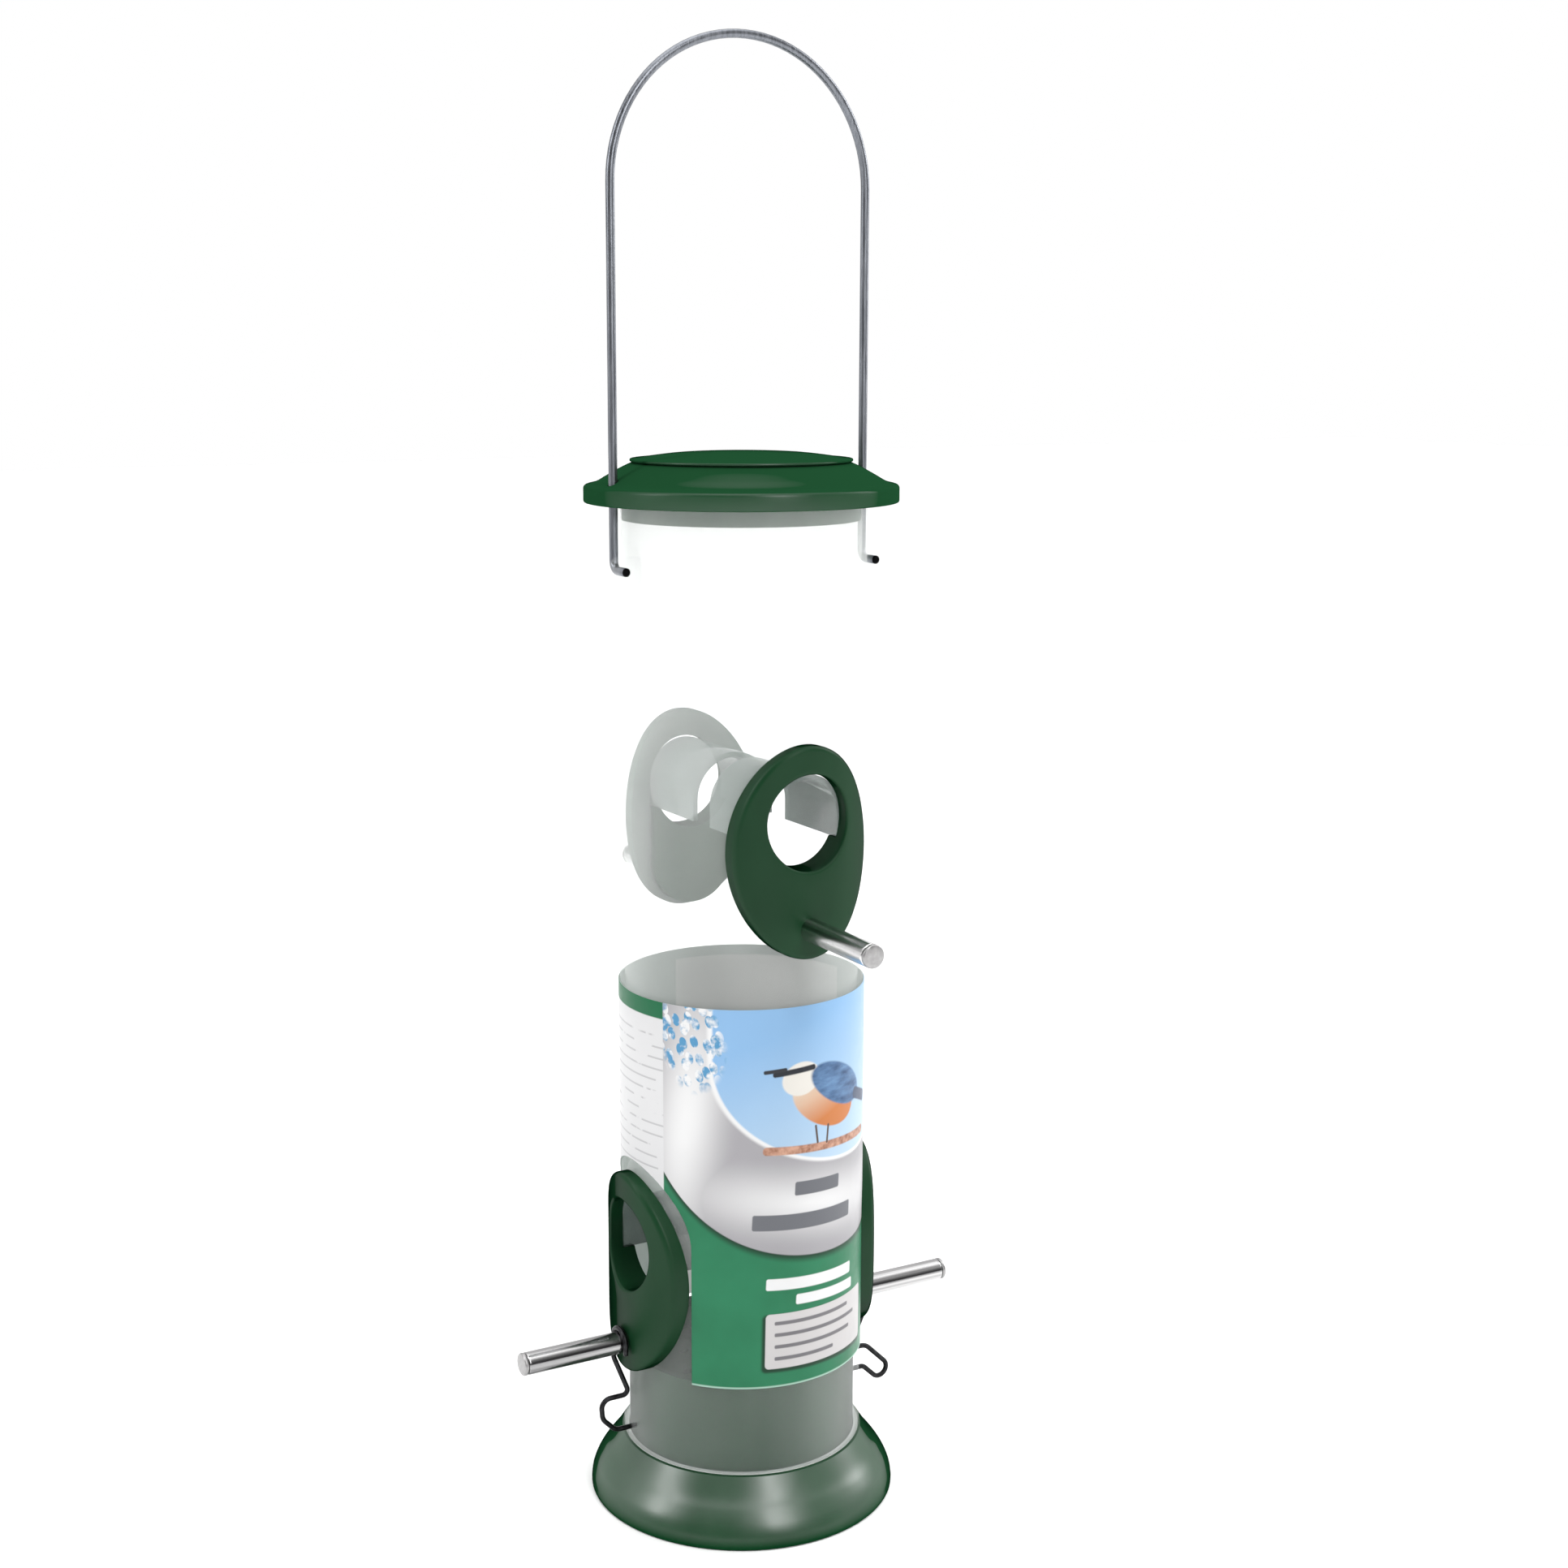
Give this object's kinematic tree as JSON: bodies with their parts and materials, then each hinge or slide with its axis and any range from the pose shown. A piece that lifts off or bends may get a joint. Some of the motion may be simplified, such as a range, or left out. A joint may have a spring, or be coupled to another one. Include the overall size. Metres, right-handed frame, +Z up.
{
  "type": "hanging tube bird seed feeder",
  "caption": "Hanging tube seed feeder for wild birds: clear tube, green feeding ports with metal perches, sliding lid on a wire bail, and a clip-on base.",
  "frame": {"origin": "centre of the base's underside, where the feeder stands", "axes": "+Z up along the tube; X along the lower perches and the bail's plane; Y along the upper perches, the front one towards -Y"},
  "size_m": [0.142, 0.142, 0.4166],
  "materials": {
    "green": "moulded dark green, satin gloss",
    "clear": "clear polycarbonate, slightly milky",
    "smoke": "smoky translucent plastic",
    "print": "printed film sleeve",
    "steel": "polished steel tube",
    "wire": "drawn steel wire",
    "spring": "blackened spring wire",
    "brass": "turned brass"
  },
  "bodies": {
    "feeder": {"bail": "wire", "base_cup": "green", "base_skirt": "green", "hood_lower_left": "smoke", "hood_lower_right": "smoke", "hood_upper_front": "smoke", "hood_upper_rear": "smoke", "label_sleeve": "print", "perch_cap_lower_left": "steel", "perch_cap_lower_right": "steel", "perch_cap_upper_front": "steel", "perch_cap_upper_rear": "steel", "perch_lower_left": "steel", "perch_lower_right": "steel", "perch_plugs": "brass", "perch_upper_front": "steel", "perch_upper_rear": "steel", "port_lower_left": "green", "port_lower_right": "green", "port_upper_front": "green", "port_upper_rear": "green", "seed_floor": "green", "tube": "clear", "tube_lug_left": "clear", "tube_lug_right": "clear"},
    "lid": {"lid_brim": "green", "lid_crown": "green", "lid_plug": "green"},
    "clip_left": {"base_clip_left": "spring"},
    "clip_right": {"base_clip_right": "spring"}
  },
  "joints": [
    {"name": "lid_slide", "type": "slide", "parent": "feeder", "child": "lid", "axis": [0, 0, 1], "range_m": [0, 0.07]},
    {"name": "clip_left_pull", "type": "slide", "parent": "feeder", "child": "clip_left", "axis": [-1, 0, 0], "range_m": [0, 0.007]},
    {"name": "clip_right_pull", "type": "slide", "parent": "feeder", "child": "clip_right", "axis": [1, 0, 0], "range_m": [0, 0.007]}
  ]
}
